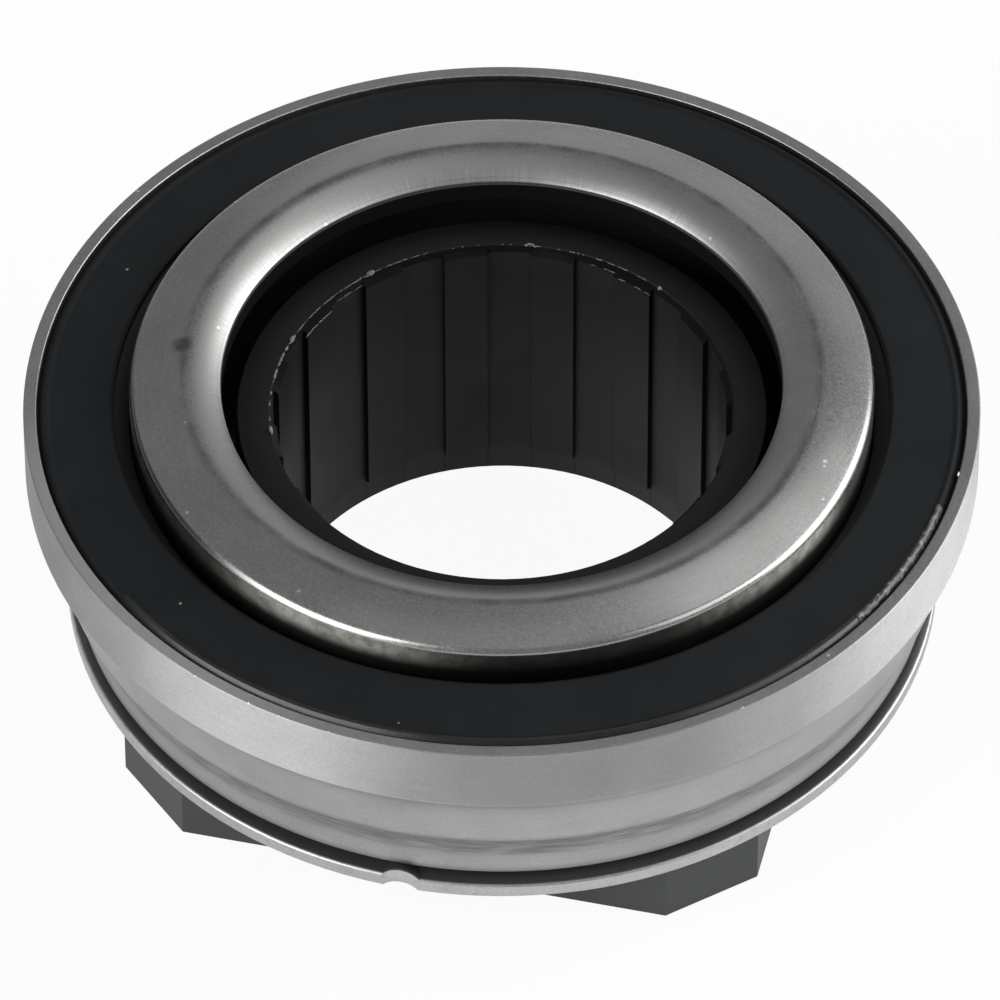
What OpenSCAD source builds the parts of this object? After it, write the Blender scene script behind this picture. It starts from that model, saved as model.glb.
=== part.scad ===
// Clutch release bearing with a guide sleeve, a back plate and a self-centring angular contact ball bearing.
// Millimetres, +Z towards the clutch. Z = 0 is the rear end of the sleeve, and the axis is at X = Y = 0.

/* [Guide sleeve] */
// Diameter over the raised guide pads, which slide on the gearbox's guide tube
guide_bore_diameter = 33; // [31:0.1:34]
// Number of raised guide pads around the bore
pad_count = 16; // [8:2:20]
// Height of the pads above the bore's wall
pad_height = 0.4; // [0.3:0.05:0.8]
// Share of the bore's wall that the pads cover
pad_share = 0.5; // [0.35:0.05:0.65]
// Plain bore behind the pads, at the sleeve's rear end
rear_land = 1.95; // [1.5:0.05:3]
// Length of the sloping lead-in at each pad's front end
pad_lead = 0.4; // [0.3:0.05:2]
// Wall of the tube, outside the pads
sleeve_wall = 2.6; // [2.2:0.1:2.7]
// How far the tube's front end stays behind the outer ring's rim
sleeve_setback = 0.8; // [0.4:0.1:2]
// Bevel on the tube's front edges
sleeve_bevel = 0.15; // [0.1:0.05:0.5]

/* [Rear boss] */
// Height of the boss behind the back plate
boss_height = 6.25; // [5:0.25:9]
// Width of the boss across the two side flats that the fork straddles
boss_width = 47.7; // [46.5:0.1:49]
// Length of the boss across its other two flats
boss_length = 50.6; // [48.5:0.1:52]
// Width of the boss across two opposite corner flats
corner_width = 61.8; // [60:0.1:62.6]
// Direction of the corner flats, from the width towards the length
corner_angle = 47.2; // [44:0.2:50]
// Bevel on the boss's rear edges
boss_bevel = 0.3; // [0.1:0.05:0.6]
// Wall around the moulding pockets
boss_wall = 2.2; // [1.8:0.1:2.6]
// Rib across each corner pocket
boss_rib = 2.2; // [1.6:0.1:3]
// Solid floor between the pockets and the back plate
pocket_floor = 1.6; // [1.2:0.1:2.5]
// Wall of the core inside the back plate's hole, outside the tube
core_wall = 2.9; // [2.4:0.1:3.2]
// Flange in front of the back plate, on which the outer ring slides
flange_thickness = 0.83; // [0.8:0.01:1.6]
// Diameter of that flange
flange_diameter = 58.6; // [56:0.2:60]

/* [Back plate] */
// Diameter of the steel back plate that the fork pushes
plate_diameter = 64.5; // [63.5:0.1:68]
// Thickness of the sheet
plate_thickness = 1.2; // [1:0.05:1.6]
// Rounding of the plate's outer edges
plate_edge = 0.2; // [0.1:0.05:0.4]
// Width of the pressed bead at the plate's rim
bead_width = 2.8; // [2.6:0.1:4.5]
// Height of the bead at the rim
bead_rise = 0.75; // [0.5:0.05:0.8]
// Length of the bead, measured in from the rim
bead_length = 2.65; // [2:0.05:3.2]

/* [Outer ring] */
// Outside diameter of the drawn outer ring
shell_diameter = 70; // [64:0.5:76]
// Height of the outer ring
shell_height = 16.2; // [15.8:0.1:18]
// Height of the plain band below the rim, as a share of the ring's height
band_share = 0.33; // [0.3:0.005:0.36]
// Height of the upper of the two hollow steps, as a share of the ring's height
upper_step_share = 0.361; // [0.34:0.001:0.38]
// Drop in radius over the upper step, as a share of the room around the tube
upper_drop_share = 0.126; // [0.11:0.001:0.13]
// Drop in radius over the lower step, as a share of the room around the tube
lower_drop_share = 0.086; // [0.07:0.001:0.09]
// Wall of the rim that holds the front seal, as a share of the room around the tube
rim_share = 0.0626; // [0.055:0.0002:0.07]
// Broken edges of the rim and of the band
edge_break = 0.1; // [0.05:0.05:0.25]
// Thickness of the ring's inward flange
ring_floor = 1.4; // [1.2:0.05:1.6]

/* [Balls and races] */
// Diameter of the balls, as a share of the room around the tube
ball_share = 0.4097; // [0.39:0.0001:0.415]
// Number of balls
ball_count = 20; // [16:1:21]
// Distance from the outer ring's outside to the ball circle, as a share of the room around the tube
inset_share = 0.4258; // [0.42:0.0001:0.44]
// Contact angle of the bearing
contact_angle = 40; // [30:1:45]
// Race radius as a share of the ball's diameter
race_share = 0.52; // [0.515:0.005:0.53]
// Running clearance between a ball and its race
race_clearance = 0.03; // [0.02:0.005:0.05]
// Gap between the balls and the outer ring's flange
ball_floor_gap = 0.12; // [0.08:0.01:0.3]

/* [Nose ring] */
// How far the nose ring's crown stands in front of the outer ring's rim
nose_rise = 3.45; // [2.5:0.1:5]
// Place of the crown line that meets the diaphragm spring's fingers, from the ring's bore to its wall
crown_share = 0.433; // [0.36:0.001:0.5]
// Slope of the flat face outside the crown
outer_slope = 14; // [8:1:18]
// Slope of the bowed face inside the crown, where it starts at the crown
inner_slope = 3; // [0:1:8]
// Slope of the bowed face where it ends at the bore's edge
edge_slope = 41; // [30:1:50]
// Rounding of the nose ring's outer edge
nose_corner = 0.6; // [0.5:0.1:1.4]
// Rounding of the nose ring's inner edge
nose_lip = 0.25; // [0.15:0.05:0.4]
// Thickness of the drawn nose ring, as a share of the room around the tube
nose_sheet_share = 0.1387; // [0.12:0.0001:0.142]
// Distance from the ball circle in to the nose ring's outer wall, as a share of the ball's diameter
nose_inset_share = 0.189; // [0.16:0.001:0.22]

/* [Seals, cage and spring] */
// Depth of the front seal's seat below the rim
seal_seat = 1.9; // [1.6:0.1:2.4]
// Height of the front seal's inner edge above the rim
seal_rise = 0.5; // [0.2:0.05:0.8]
// Thickness of the front seal
seal_thickness = 1.1; // [0.9:0.05:1.3]
// Width of the groove at the front seal's outer edge
seal_groove = 0.25; // [0.15:0.05:0.4]
// Width of the round bead inside that groove
seal_bead = 0.66; // [0.5:0.02:0.9]
// Depth of that bead's top below the rim
seal_bead_depth = 0.05; // [0.02:0.01:0.15]
// Visible gap between the front seal's edge and the nose ring's wall
seal_gap = 1.2; // [0.9:0.1:1.5]
// Gap between a sealing lip and the nose ring
lip_gap = 0.1; // [0.06:0.01:0.2]
// Clearance of a ball in its cage pocket
pocket_clearance = 0.12; // [0.08:0.01:0.2]
// Wall of the cage, as a share of the ball's diameter
cage_share = 0.394; // [0.35:0.002:0.42]
// Thickness of the star spring that holds the bearing on the sleeve
spring_thickness = 0.5; // [0.4:0.05:0.6]
// Width of the rear seal, as a share of the room around the tube
rear_seal_share = 0.155; // [0.14:0.001:0.17]
// Number of fingers on the star spring
spring_fingers = 8; // [6:1:12]
// Width of the slots between the fingers
spring_slot = 1; // [0.8:0.1:1.6]

/* [Self-centring] */
// Free movement of the bearing to each side of the sleeve's axis
float_travel = 0.5; // [0.3:0.05:0.5]
// Room left beyond that movement
float_margin = 0.15; // [0.1:0.05:0.2]
// Sliding clearance between the outer ring, the sleeve's flange and the spring
slide_gap = 0.02; // [0.02:0.005:0.05]
// Radial clearance between the sleeve's core and the back plate's hole
plate_fit = 0.02; // [0.01:0.005:0.05]
// Overlap of the sleeve's barb on the spring's inner edge
barb_hold = 0.3; // [0.2:0.05:0.4]
// Upright edge of the barb
barb_land = 0.35; // [0.25:0.05:0.5]
// Length of the barb's sloping lead, over which the spring is pushed on
barb_lead = 1.25; // [1:0.05:1.6]

/* [Hidden] */
$fn = 96;
overlap = pad_height / 10;
edge_steps = 8;
bow_steps = 24;
hollow_sides = 400;

guide_r = guide_bore_diameter / 2;
bore_r = guide_r + pad_height;
tube_r = bore_r + sleeve_wall;
core_r = tube_r + core_wall;
flange_r = flange_diameter / 2;

plate_r = plate_diameter / 2;
plate_rear_z = boss_height;
plate_front_z = plate_rear_z + plate_thickness;
flange_front_z = plate_front_z + flange_thickness;
bead_tilt = atan(bead_rise / bead_length);
bead_r = (bead_width * bead_width / 4 + bead_rise * bead_rise) / (2 * bead_rise);

shell_r = shell_diameter / 2;
room = shell_r - tube_r;
shell_rear_z = flange_front_z + slide_gap;
rim_z = shell_rear_z + shell_height;
floor_z = shell_rear_z + ring_floor;
band_height = band_share * shell_height;
upper_step_height = upper_step_share * shell_height;
band_z = rim_z - band_height;
ridge_z = band_z - upper_step_height;
ridge_r = shell_r - upper_drop_share * room;
foot_r = ridge_r - lower_drop_share * room;
rim_wall = rim_share * room;
rim_bore_r = shell_r - rim_wall;
seat_z = rim_z - seal_seat;
seat_ledge = 0.93 * rim_wall;

ball_diameter = ball_share * room;
ball_r = ball_diameter / 2;
ball_circle_r = shell_r - inset_share * room;
ball_z = floor_z + ball_r + ball_floor_gap;
race_r = race_share * ball_diameter;
race_offset = race_r - ball_r - race_clearance;
race_shift = [race_offset * cos(contact_angle), -race_offset * sin(contact_angle)];
inner_race = [ball_circle_r, ball_z] + race_shift;
outer_race = [ball_circle_r, ball_z] - race_shift;
outer_wall_r = outer_race[0] + race_r;

float_room = float_travel * sqrt(2) + float_margin;
nose_sheet = nose_sheet_share * room;
crown_z = rim_z + nose_rise;
nose_bore_r = tube_r + float_room + float_margin;
nose_wall_r = ball_circle_r - nose_inset_share * ball_diameter;
nose_bore_wall_r = nose_wall_r - nose_sheet;
crown_r = nose_bore_r + crown_share * (nose_wall_r - nose_bore_r);
race_bore_r = inner_race[0] - race_r - 0.95 * nose_sheet;
race_land_r = ball_circle_r - 0.315 * ball_diameter;
nose_rear_z = ball_z - 0.22 * ball_diameter;

rear_seal_width = rear_seal_share * room;
rear_seal_in_r = race_land_r - rear_seal_width;
rear_seal_height = nose_rear_z - lip_gap - floor_z;
spring_in_r = tube_r + float_travel + float_margin;
spring_out_r = rear_seal_in_r - float_travel - 3 * float_margin;
spring_width = spring_out_r - spring_in_r;
spring_bend_r = spring_out_r - 0.38 * spring_width;
spring_rise = 0.15 * ball_diameter;
spring_rear_z = floor_z + slide_gap;
spring_front_z = spring_rear_z + spring_rise + spring_thickness;
barb_r = spring_in_r + barb_hold;
barb_z = spring_front_z + slide_gap;
ring_hole_r = spring_in_r + 0.28 * spring_width;

cage_in_r = nose_wall_r + 0.071 * ball_diameter;
cage_out_r = cage_in_r + cage_share * ball_diameter;
cage_rear_z = ball_z - 0.283 * ball_diameter;
cage_front_z = ball_z + 0.736 * ball_diameter;

function two_digits(number) = number < 10 ? str("0", number) : str(number);
ball_names = [for (i = [1 : ball_count]) str("ball_", two_digits(i))];

// Points of an arc about a centre, from one angle to another
function arc(centre, radius, start, end, steps = edge_steps) =
    [for (i = [0 : steps]) centre + radius * [cos(start + (end - start) * i / steps),
                                              sin(start + (end - start) * i / steps)]];

// Radius of a hollow that runs upright at its foot and leans outwards towards its head
function hollow_radius(drop, height) = (drop * drop + height * height) / (2 * drop);

// Plan of the rear boss: a rectangle with cut corners, drawn in by an inset
module boss_plan(inset) {
    intersection() {
        square([boss_width - 2 * inset, boss_length - 2 * inset], center = true);
        rotate(corner_angle) square([corner_width - 2 * inset, 2 * corner_width], center = true);
        rotate(-corner_angle) square([corner_width - 2 * inset, 2 * corner_width], center = true);
    }
}

// Long block between two opposite flats of the boss, bevelled at the rear and turned to a direction
module boss_slab(direction, width) {
    rotate([90, 0, direction])
        translate([0, 0, -corner_width])
            linear_extrude(2 * corner_width)
                polygon([[boss_bevel - width / 2, 0], [width / 2 - boss_bevel, 0], [width / 2, boss_bevel],
                         [width / 2, boss_height], [-width / 2, boss_height], [-width / 2, boss_bevel]]);
}

// Solid rear boss with eight flats and bevelled rear edges
module boss_block() {
    intersection() {
        boss_slab(0, boss_width);
        boss_slab(90, boss_length);
        boss_slab(corner_angle, corner_width);
        boss_slab(-corner_angle, corner_width);
    }
}

// The four corner pockets of the boss, each with a rib across it
module boss_pockets() {
    difference() {
        boss_plan(boss_wall);
        circle(r = core_r);
        for (turn = [corner_angle, -corner_angle])
            rotate(turn) square([2 * corner_width, boss_rib], center = true);
    }
}

// One raised guide pad, bevelled at the rear and sloping out to the bore's edge at the front
module guide_pad() {
    pad_angle = pad_share * 360 / pad_count;
    pad_front_z = rim_z - sleeve_setback - 2 * sleeve_bevel;
    rotate([0, 0, -pad_angle / 2])
        rotate_extrude(angle = pad_angle)
            polygon([[bore_r + overlap, rear_land], [guide_r, rear_land + pad_height / 2],
                     [guide_r, pad_front_z - pad_lead],
                     [bore_r + overlap, pad_front_z + overlap * pad_lead / pad_height]]);
}

// Moulded guide sleeve: tube, rear boss, core through the back plate, flange, barb and guide pads
module guide_sleeve() {
    tube_z = rim_z - sleeve_setback;
    color([0.05, 0.05, 0.055]) union() {
        rotate_extrude()
            polygon([[bore_r, 0], [core_r - plate_fit, 0], [core_r - plate_fit, plate_front_z],
                     [flange_r, plate_front_z], [flange_r, flange_front_z], [tube_r, flange_front_z],
                     [tube_r, barb_z], [barb_r, barb_z], [barb_r, barb_z + barb_land],
                     [tube_r, barb_z + barb_land + barb_lead],
                     [tube_r, tube_z - sleeve_bevel], [tube_r - sleeve_bevel, tube_z],
                     [bore_r + sleeve_bevel, tube_z], [bore_r, tube_z - sleeve_bevel]]);
        difference() {
            boss_block();
            translate([0, 0, -boss_height]) cylinder(r = core_r - core_wall / 3, h = 3 * boss_height);
            translate([0, 0, -pocket_floor]) linear_extrude(boss_height) boss_pockets();
        }
        for (i = [0 : pad_count - 1])
            rotate([0, 0, 90 + i * 360 / pad_count]) guide_pad();
    }
}

// Tilted round bar whose upper side is a bead, sunk by a depth
module bead_bar(depth) {
    translate([0, -plate_r, plate_front_z + bead_rise - depth])
        rotate([-bead_tilt, 0, 0])
            translate([0, 3 * bead_length, -bead_r])
                rotate([90, 0, 0]) cylinder(r = bead_r, h = 5 * bead_length);
}

// Steel back plate with a pressed bead at each end of its long axis
module back_plate() {
    color([0.62, 0.62, 0.63]) difference() {
        union() {
            rotate_extrude()
                polygon(concat([[core_r, plate_rear_z]],
                               arc([plate_r - plate_edge, plate_rear_z + plate_edge], plate_edge, -90, 0),
                               arc([plate_r - plate_edge, plate_front_z - plate_edge], plate_edge, 0, 90),
                               [[core_r, plate_front_z]]));
            for (turn = [0, 180])
                rotate([0, 0, turn])
                    intersection() {
                        bead_bar(0);
                        translate([0, 0, plate_rear_z + plate_edge])
                            cylinder(r = plate_r, h = plate_thickness + bead_rise);
                    }
        }
        for (turn = [0, 180])
            rotate([0, 0, turn]) bead_bar(plate_thickness);
    }
}

// Drawn outer ring: rim, plain band, two hollow steps, inward flange and ball race
module outer_ring() {
    head_r = shell_r - edge_break / 2;
    upper_r = hollow_radius(head_r - ridge_r, upper_step_height);
    lower_r = hollow_radius(ridge_r - foot_r, ridge_z - shell_rear_z);
    ledge_r = rim_bore_r - seat_ledge;
    shoulder_r = ball_circle_r + 0.031 * ball_diameter;
    color([0.6, 0.6, 0.61]) rotate_extrude() difference() {
        polygon([[ring_hole_r, shell_rear_z], [foot_r, shell_rear_z], [ridge_r, ridge_z], [head_r, band_z],
                 [shell_r, band_z + edge_break], [shell_r, rim_z - edge_break], [shell_r - edge_break, rim_z],
                 [rim_bore_r + edge_break / 2, rim_z], [rim_bore_r, rim_z - edge_break / 2],
                 [rim_bore_r, seat_z], [ledge_r, seat_z], [ledge_r, band_z + 0.15 * band_height],
                 [outer_wall_r, ball_z + 1.25 * ball_r], [outer_wall_r - 0.055 * ball_diameter, ball_z],
                 [shoulder_r, ball_z], [shoulder_r, floor_z], [ring_hole_r, floor_z]]);
        translate([ridge_r + upper_r, ridge_z]) circle(r = upper_r, $fn = hollow_sides);
        translate([foot_r + lower_r, shell_rear_z]) circle(r = lower_r, $fn = hollow_sides);
        translate(outer_race) circle(r = race_r);
    }
}

// Front rubber seal, seated in the rim, with a round bead outside and a lip that runs close to the nose ring
module front_seal() {
    seat_r = rim_bore_r - slide_gap;
    edge_r = nose_wall_r + seal_gap;
    edge_z = rim_z + seal_rise;
    lip_r = nose_wall_r + lip_gap;
    bead_centre = [seat_r - seal_groove - seal_bead / 2, rim_z - seal_bead_depth - seal_bead / 2];
    color([0.07, 0.075, 0.08]) rotate_extrude()
        polygon(concat([[seat_r, seat_z], [seat_r, bead_centre[1]]],
                       arc(bead_centre, seal_bead / 2, 0, 150),
                       [[edge_r + seal_gap / 6, edge_z], [edge_r, edge_z - seal_thickness / 10],
                        [edge_r, edge_z - 0.64 * seal_thickness], [lip_r, edge_z - 1.73 * seal_thickness],
                        [lip_r, edge_z - 2 * seal_thickness], [lip_r + 3 * lip_gap, edge_z - 2 * seal_thickness],
                        [edge_r + seal_gap / 2, edge_z - 1.1 * seal_thickness],
                        [seat_r - 1.1 * seal_thickness, rim_z - seal_thickness],
                        [seat_r - 1.1 * seal_thickness, seat_z]]));
}

// Rear rubber seal, bonded on the outer ring's flange under the nose ring's rear end
module rear_seal() {
    base_z = floor_z + rear_seal_height / 4;
    lip_z = floor_z + rear_seal_height;
    color([0.07, 0.07, 0.07]) rotate_extrude()
        polygon([[rear_seal_in_r, floor_z], [rear_seal_in_r + rear_seal_width, floor_z],
                 [rear_seal_in_r + rear_seal_width, base_z], [rear_seal_in_r + 0.55 * rear_seal_width, base_z],
                 [rear_seal_in_r + 0.38 * rear_seal_width, lip_z],
                 [rear_seal_in_r + 0.17 * rear_seal_width, lip_z],
                 [rear_seal_in_r + 0.13 * rear_seal_width, base_z], [rear_seal_in_r, base_z]]);
}

// Nose ring: flat sloping face, crown, bowed inner face, upright wall and inner ball race
module inner_ring() {
    corner = [nose_wall_r - nose_corner, crown_z - (nose_wall_r - nose_corner - crown_r) * tan(outer_slope)
              - nose_corner / cos(outer_slope)];
    bow_edge_r = nose_bore_r + nose_lip * (1 - sin(edge_slope));
    bow_r = (crown_r - bow_edge_r) / (sin(edge_slope) - sin(inner_slope));
    bow_centre = [crown_r + bow_r * sin(inner_slope), crown_z - bow_r * cos(inner_slope)];
    lip_centre = bow_centre + (bow_r - nose_lip) * [-sin(edge_slope), cos(edge_slope)];
    back_z = lip_centre[1] - nose_sheet + 2 * nose_lip;
    face_back_z = crown_z - nose_sheet;
    color([0.58, 0.58, 0.59]) rotate_extrude() difference() {
        polygon(concat(arc(corner, nose_corner, 0, 90 - outer_slope),
                       arc(bow_centre, bow_r, 90 + inner_slope, 90 + edge_slope, bow_steps),
                       arc(lip_centre, nose_lip, 90 + edge_slope, 180),
                       [[nose_bore_r, back_z], [nose_bore_r + 0.19 * nose_sheet, back_z - 0.19 * nose_sheet],
                        [crown_r, face_back_z - 0.05 * nose_sheet],
                        [nose_bore_wall_r - 0.37 * nose_sheet, face_back_z - 0.14 * nose_sheet],
                        [nose_bore_wall_r, face_back_z - 0.51 * nose_sheet],
                        [nose_bore_wall_r, ball_z + 0.58 * ball_diameter],
                        [race_bore_r, ball_z + 0.063 * ball_diameter], [race_bore_r, nose_rear_z],
                        [race_land_r, nose_rear_z], [race_land_r, ball_z], [nose_wall_r, ball_z]]));
        translate(inner_race) circle(r = race_r);
    }
}

// Snap-in cage with one open pocket for each ball
module ball_cage() {
    color([0.28, 0.26, 0.2]) difference() {
        rotate_extrude()
            polygon([[cage_in_r, cage_rear_z], [cage_out_r, cage_rear_z], [cage_out_r, cage_front_z],
                     [cage_in_r, cage_front_z]]);
        for (i = [0 : ball_count - 1])
            rotate([0, 0, i * 360 / ball_count])
                translate([ball_circle_r, 0, ball_z]) sphere(r = ball_r + pocket_clearance);
    }
}

// Star spring that holds the outer ring's flange down on the sleeve's flange
module centring_spring() {
    color([0.5, 0.5, 0.48]) difference() {
        rotate_extrude()
            polygon([[spring_out_r, spring_rear_z], [spring_out_r, spring_rear_z + spring_thickness],
                     [spring_bend_r, spring_rear_z + spring_thickness], [spring_in_r, spring_front_z],
                     [spring_in_r, spring_front_z - spring_thickness], [spring_bend_r, spring_rear_z]]);
        for (i = [0 : spring_fingers - 1])
            rotate([0, 0, (i + 0.5) * 360 / spring_fingers])
                translate([0, -spring_slot / 2, spring_rear_z - spring_rise])
                    cube([spring_bend_r, spring_slot, 3 * spring_rise + spring_thickness]);
    }
}

// One ball of the set, numbered from 1 on the X axis
module ball(number) {
    color([0.75, 0.75, 0.76])
        rotate([0, 0, (number - 1) * 360 / ball_count])
            translate([ball_circle_r, 0, ball_z]) sphere(r = ball_r);
}

guide_sleeve();
back_plate();
outer_ring();
front_seal();
rear_seal();
inner_ring();
ball_cage();
centring_spring();
for (i = [1 : ball_count])
    ball(i);
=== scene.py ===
import math
import random

import bmesh
import bpy
from mathutils import Matrix, Vector


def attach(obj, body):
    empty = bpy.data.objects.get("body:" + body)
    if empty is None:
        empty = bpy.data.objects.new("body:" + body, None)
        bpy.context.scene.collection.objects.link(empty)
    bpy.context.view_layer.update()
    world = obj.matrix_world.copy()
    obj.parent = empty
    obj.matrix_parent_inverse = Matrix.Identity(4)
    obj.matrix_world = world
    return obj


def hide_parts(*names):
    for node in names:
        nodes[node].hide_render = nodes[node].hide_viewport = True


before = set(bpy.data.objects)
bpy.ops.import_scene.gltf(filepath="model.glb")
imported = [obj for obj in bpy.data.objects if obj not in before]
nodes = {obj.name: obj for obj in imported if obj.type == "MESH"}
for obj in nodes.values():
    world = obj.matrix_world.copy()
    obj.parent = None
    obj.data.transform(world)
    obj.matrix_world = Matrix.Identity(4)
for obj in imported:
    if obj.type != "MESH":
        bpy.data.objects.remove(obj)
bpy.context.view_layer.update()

# Sizes in millimetres and angles in degrees, after the part's source. A pair of sizes is radius and height
MM = 0.001
SHELL_R = 35.0
RIM = 24.5
BAND_FOOT = 19.154
RIDGE = (33.047, 13.306)
FOOT = (31.714, 8.3)
RING_HOLE_R = 20.961
RING_FLOOR = 9.7
RING_FLOOR_R = 28.6
RIM_BORE_R = 34.03
SEAL_SEAT = 22.6
LEDGE_WIDTH = 0.902
LEDGE_RISE = 0.802
SEAL_PLAY = 0.02
BALL = (28.4, 12.995)
BALL_R = 3.175
RACE_R = 3.302
RACE_SHIFT = (0.0743, 0.0624)
SHELL_RACE = (6, -78)
NOSE_WALL_R = 27.2
NOSE_BORE_R = 20.507
NOSE_INNER_R = 25.05
NOSE_REAR_R = 23.13
NOSE_REAR = 11.598
NOSE_FOLD = (20.915, 24.567)
LIP = (20.758, 26.6256)
LIP_R = 0.251
CROWN = (23.248, 25.825)
CROWN_R = 2.1
BOW = (23.649, 23.2995)
BOW_R = 4.657
BORE_R = 16.9
GUIDE_R = 16.5
PAD_COUNT = 16
PAD_MIDDLE = 90
TUBE_TOP = 23.7
PAD_TOP = 23.0
BOSS_TOP = 6.25

# Corners of the front seal's bead and raised face, and the radius and height that the bead lies above
BEAD_LIMIT = (33.08, 23.95)
BEAD_FRONT = (33.44, 24.46)
BEAD_CREST = (33.3, 24.5)
BEAD_FOOT = (33.02, 24.37)
SEAL_EDGE = (28.6, 25.0)

# Nose ring's front: slopes of its bowed outer face at both ends, its corner, and where its arcs end
CROWN_SLOPE = 10
EDGE_SLOPE = 22
NOSE_CORNER = 0.75
CROWN_END = 99
BOW_END = 131

# Zones of the finishes by radius in millimetres, from where each starts to where it is full
NOSE_BOW = (23.0, 21.8)
NEAR_LIP = (22.0, 20.9)
NOSE_EDGE = (26.8, 27.0)
NOSE_HOLLOW = (25.3, 25.2)
RING_SHADOW_ZONE = (32.2, 31.95)
SEAL_LIP_LIGHT = (28.45, 28.3)
SLEEVE_BORE = (BORE_R + 0.15, BORE_R + 0.05)
SLEEVE_FACE = (17.2, 19.2)
BOSS_OUTSIDE = (19.0, 21.0)

# Zones of the finishes by height in millimetres, from where each starts to where it is full
NOSE_INSIDE = (26.55, 26.4)
NOSE_DEPTHS = (25.0, 24.9)
WALL_GAP_SHADE = (26.0, 24.5)
FOOT_SHADE = (FOOT[1] + 0.9, FOOT[1])
PLATE_FRONT = (7.36, 7.43)
SLEEVE_FRONT_SHADE = (TUBE_TOP - 0.2, TUBE_TOP - 0.05)
BORE_LIGHT_DEPTH = (22.0, 2.0)
BORE_REAR_LIGHT = (3.0, 1.2)
LEAD_SHADE_ZONE = (PAD_TOP - 0.1, PAD_TOP + 0.05)
BOSS = (BOSS_TOP + 0.2, BOSS_TOP - 0.2)

# Bands of the finishes in millimetres: low end, high end and blur
CROWN_WEAR = (22.95, 23.55, 0.3)
CROWN_LINE = (23.26, 23.36, 0.07)
LIP_SHADE_LINE = (20.74, 20.78, 0.03)
BELOW_RIDGE = (RIDGE[1] - 2.7, RIDGE[1] - 0.1, 0.6)
BELOW_BAND = (BAND_FOOT - 1.1, BAND_FOOT - 0.2, 0.3)

# Sectors of the finishes in degrees: middle, reach to each side and blur
BOW_REFLECTION_SECTOR = (286, 32, 18)
SHADED_EDGE_SECTOR = (190, 48, 14)
BRIGHT_RIM_SECTOR = (228, 28, 12)
GLOSSY_BEAD = (289, 54, 7)
GLOSSY_FILM = (296, 62, 7)

# Painted shade along the sides of the guide pads, as a share of the way from pad to pad: low end, high end
# and blur
PAD_SIDE_SHADE = (0.243, 0.257, 0.008)

# Smudge on the nose ring's crown, and bright nicks on its face: angle, radius, height and size
NOSE_SMUDGE = (186.9, 23.5, 27.9, 1.0)
NOSE_NICKS = [(352.2, 25.08, 27.55, 0.24), (351.2, 25.2, 27.52, 0.14), (345.1, 26.31, 27.13, 0.14),
              (180.1, 21.3, 27.32, 0.17), (206.2, 23.6, 27.89, 0.13), (55.9, 20.95, 27.09, 0.15)]

# Painted shade on stretches of the nose ring's outer wall: angle, reach and share, all about one height
WALL_SHADE_SPOTS = [(296, 14.5, 0.85), (220, 14.0, 0.85), (359, 10.0, 0.92)]
SHADE_SPOT_HEIGHT = 25.4

# Threads of torn flash in the bore: first and last angle, on the upper edge or not, count, length, thickness
FLASH_THREADS = [(141, 164, True, 26, 0.5, 0.6), (141, 164, False, 26, 0.5, 0.6),
                 (116, 138, True, 14, 0.35, 0.45), (62, 80, True, 12, 0.4, 0.45),
                 (62, 80, False, 12, 0.4, 0.5)]

# Thicker specks of flash: first and last angle, count and greatest size
FLASH_SPECKS = [(165, 182, 18, 1.9), (182, 199, 6, 1.4), (80, 97, 9, 0.8), (97, 116, 6, 0.5)]

# Clumps of flash: angle and size, and the specks in each
FLASH_CLUMPS = [(200.3, 3.4), (138.5, 3.6), (168, 3.0), (96.6, 1.8), (95.4, 1.4), (59.6, 2.0)]
CLUMP_COUNT = 5

# Bright burrs on the rim's edges: angle, radius, height, length and thickness
RIM_BURRS = [(244.2, 34.9, 24.45, 0.16, 1.5), (252, 34.9, 24.45, 0.12, 1.0), (256.1, 34.9, 24.45, 0.14, 1.0),
             (262.5, 34.9, 24.45, 0.2, 0.9), (280.7, 34.9, 24.45, 0.12, 0.8), (312.4, 34.9, 24.45, 0.3, 1.0),
             (0.8, 33.98, 24.4, 0.25, 1.6)]

# Size of a fleck before it is stretched
FLECK_SIZE = (0.06, 1, 0.06)

# Torn rubber film on the seal's bead: the angles where it starts and ends, its outline and its steps
FILM_START = 333
FILM_END = 355
FILM_OUTLINE = [(33.26, 24.52), (33.4, 24.54), (33.53, 24.43), (33.66, 24.29), (33.79, 24.15)]
FILM_STEPS = 64

# Fineness of the turned pieces
TURN_STEPS = 192
CORNER_SEGMENTS = 4
MERGE_DISTANCE = 1e-6
SMOOTH_ANGLE = math.radians(28)

# Patterns: the noise values at which a tone is at its ends, how deep the grain is, and how fine
TONE_ENDS = (0.3, 0.7)
GRAIN_DEPTH = 0.02 * MM
STEEL_GRAIN = 4200
RUBBER_GRAIN = 5000
PLASTIC_GRAIN = 3600

# Camera of the photograph
CAMERA_ELEVATION = math.radians(46.03)
CAMERA_AZIMUTH = math.radians(13.3)
CAMERA_DISTANCE = 877.5 * MM
CAMERA_PITCH = math.radians(46.5)
CAMERA_YAW = math.radians(-0.014)
CAMERA_ROLL = math.radians(-0.155)
CAMERA_LENS = 432.0
CAMERA_SENSOR = 36.0


def from_camera(sideways, away, up):
    """A direction given as the photographer sees it: right, away and up, turned into the part's frame."""
    turn = Matrix.Rotation(CAMERA_AZIMUTH, 3, "Z")
    return turn @ Vector((sideways, away, up))


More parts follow.
